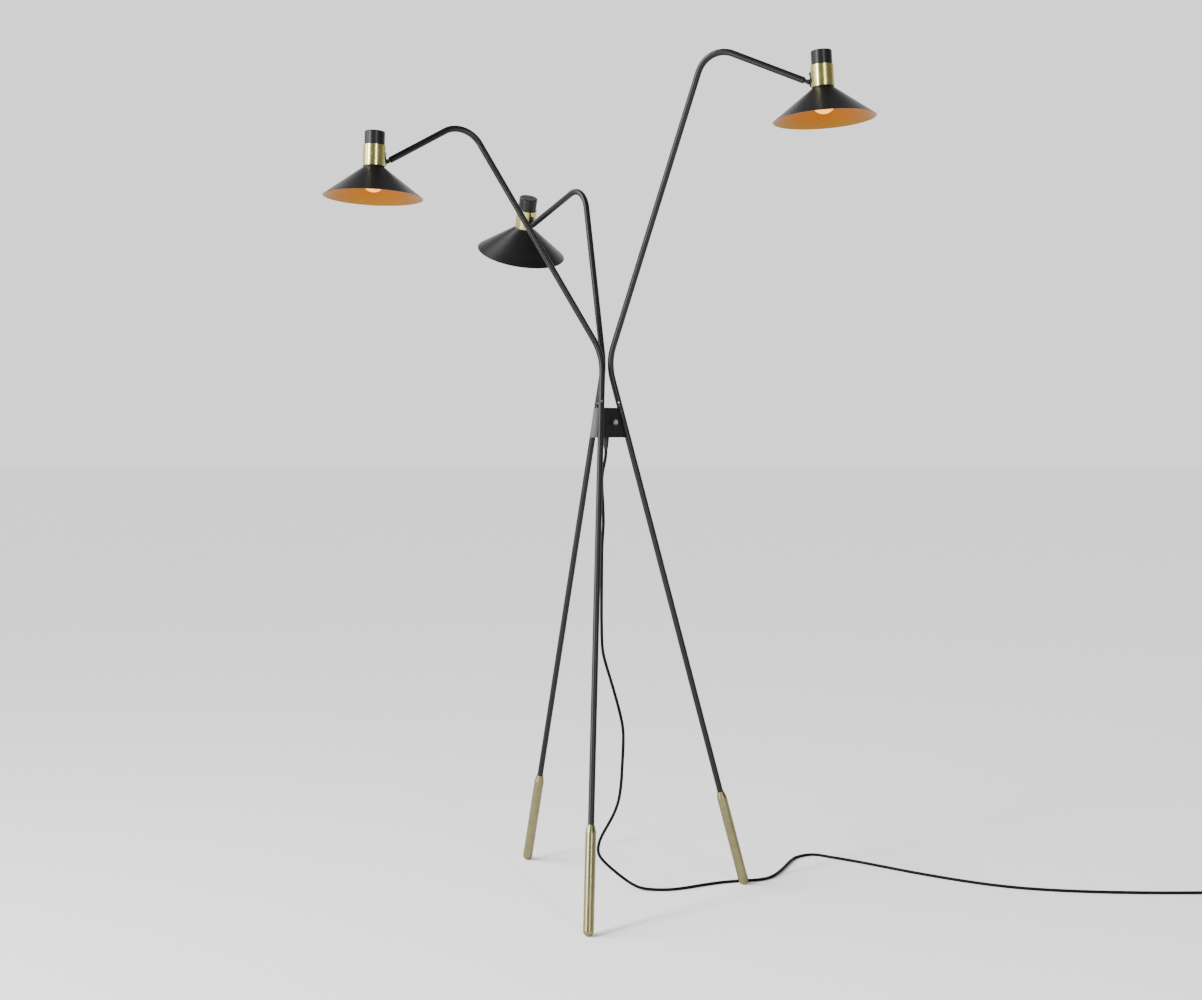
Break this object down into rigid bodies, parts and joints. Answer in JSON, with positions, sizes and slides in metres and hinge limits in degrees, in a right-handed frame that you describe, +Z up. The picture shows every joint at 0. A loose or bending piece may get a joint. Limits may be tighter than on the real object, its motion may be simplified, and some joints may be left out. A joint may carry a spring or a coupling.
{
  "type": "floor lamp",
  "caption": "Tripod floor lamp: crossing tube legs, swivelling bent tube arms and cone shades that roll and tilt, with a wiring box, push switch and mains cord.",
  "frame": {"origin": "the point on the floor straight below the wiring box, on the lamp's upright axis", "axes": "+Z up, +Y away from the camera of the picture, +X to its right"},
  "size_m": [1.8335, 0.7044, 1.6131],
  "materials": {
    "black_paint": "satin black powder coat",
    "black_metal": "satin black",
    "aged_brass": "brushed and darkened",
    "pale_brass": "brushed, pale",
    "bare_steel": "plain turned",
    "black_plastic": "fine matt",
    "grey_plastic": "satin grey",
    "black_cord": "smooth flexible sheath",
    "white_plastic": "plain",
    "opal_glass": "opal"
  },
  "bodies": {
    "stand": {"hub_plates": "black_paint", "hub_top_cover": "black_paint", "hub_bottom_cover": "black_paint", "hub_pillar": "bare_steel", "cover_screws": "bare_steel", "terminal_block": "white_plastic", "switch_body": "black_plastic", "switch_bezel": "grey_plastic", "swivel_spigots": "bare_steel", "strain_relief": "black_plastic", "mains_cord": "black_cord", "cord_coil": "black_cord", "cord_tie": "black_plastic", "plug": "black_plastic", "leg_front": "black_paint", "leg_rear": "black_paint", "leg_right": "black_paint", "foot_front": "aged_brass", "foot_rear": "aged_brass", "foot_right": "aged_brass"},
    "button": {"switch_button": "grey_plastic"},
    "arm_front_body": {"arm_front": "black_paint", "arm_bush_front": "black_plastic", "arm_lead_front": "black_cord", "set_screw_front": "bare_steel"},
    "stem_front_body": {"stem_front": "black_metal"},
    "head_front_body": {"shade_front": "black_paint", "collar_front": "pale_brass", "cap_front": "black_paint", "lampholder_front": "white_plastic", "shade_ring_front": "white_plastic", "bulb_front": "opal_glass", "tilt_bracket_front": "black_metal", "tilt_fixings_front": "black_metal"},
    "arm_rear_body": {"arm_rear": "black_paint", "arm_bush_rear": "black_plastic", "arm_lead_rear": "black_cord", "set_screw_rear": "bare_steel"},
    "stem_rear_body": {"stem_rear": "black_metal"},
    "head_rear_body": {"shade_rear": "black_paint", "collar_rear": "pale_brass", "cap_rear": "black_paint", "lampholder_rear": "white_plastic", "shade_ring_rear": "white_plastic", "bulb_rear": "opal_glass", "tilt_bracket_rear": "black_metal", "tilt_fixings_rear": "black_metal"},
    "arm_right_body": {"arm_right": "black_paint", "arm_bush_right": "black_plastic", "arm_lead_right": "black_cord", "set_screw_right": "bare_steel"},
    "stem_right_body": {"stem_right": "black_metal"},
    "head_right_body": {"shade_right": "black_paint", "collar_right": "pale_brass", "cap_right": "black_paint", "lampholder_right": "white_plastic", "shade_ring_right": "white_plastic", "bulb_right": "opal_glass", "tilt_bracket_right": "black_metal", "tilt_fixings_right": "black_metal"}
  },
  "joints": [
    {"name": "arm_swivel_front", "type": "hinge", "parent": "stand", "child": "arm_front_body", "pos_m": [-0.00753, -0.02798, 0.9615], "axis": [0.0238, 0.256, 0.9664], "range_deg": [-10, 30]},
    {"name": "shade_roll_front", "type": "hinge", "parent": "arm_front_body", "child": "stem_front_body", "pos_m": [-0.40406, -0.10793, 1.4193], "axis": [-0.7205, -0.4817, -0.4988], "range_deg": [-90, 90]},
    {"name": "shade_tilt_front", "type": "hinge", "parent": "stem_front_body", "child": "head_front_body", "pos_m": [-0.40982, -0.11179, 1.41531], "axis": [-0.5574, 0.8303, 0.0033], "range_deg": [-55, 25]},
    {"name": "arm_swivel_rear", "type": "hinge", "parent": "stand", "child": "arm_rear_body", "pos_m": [-0.01525, 0.02427, 0.9615], "axis": [0.1515, -0.2078, 0.9664], "range_deg": [-30, 10]},
    {"name": "shade_roll_rear", "type": "hinge", "parent": "arm_rear_body", "child": "stem_rear_body", "pos_m": [-0.15065, 0.25437, 1.34973], "axis": [-0.5143, 0.8119, -0.2762], "range_deg": [-90, 90]},
    {"name": "shade_tilt_rear", "type": "hinge", "parent": "stem_rear_body", "child": "head_rear_body", "pos_m": [-0.15476, 0.26087, 1.34752], "axis": [0.8175, 0.5615, 0.1284], "range_deg": [-65, 15]},
    {"name": "arm_swivel_right", "type": "hinge", "parent": "stand", "child": "arm_right_body", "pos_m": [0.02802, 0.00593, 0.9615], "axis": [-0.254, -0.0402, 0.9664], "range_deg": [-25, 25]},
    {"name": "shade_roll_right", "type": "hinge", "parent": "arm_right_body", "child": "stem_right_body", "pos_m": [0.3597, -0.20677, 1.54425], "axis": [0.8707, -0.2803, -0.4042], "range_deg": [-90, 90]},
    {"name": "shade_tilt_right", "type": "hinge", "parent": "stem_right_body", "child": "head_right_body", "pos_m": [0.36666, -0.20901, 1.54102], "axis": [-0.3174, -0.9479, -0.0263], "range_deg": [-50, 30]},
    {"name": "button_press", "type": "slide", "parent": "stand", "child": "button", "axis": [-0.6902, 0.7055, -0.1609], "range_m": [0, 0.0025], "stiffness_N_per_m": 400}
  ]
}
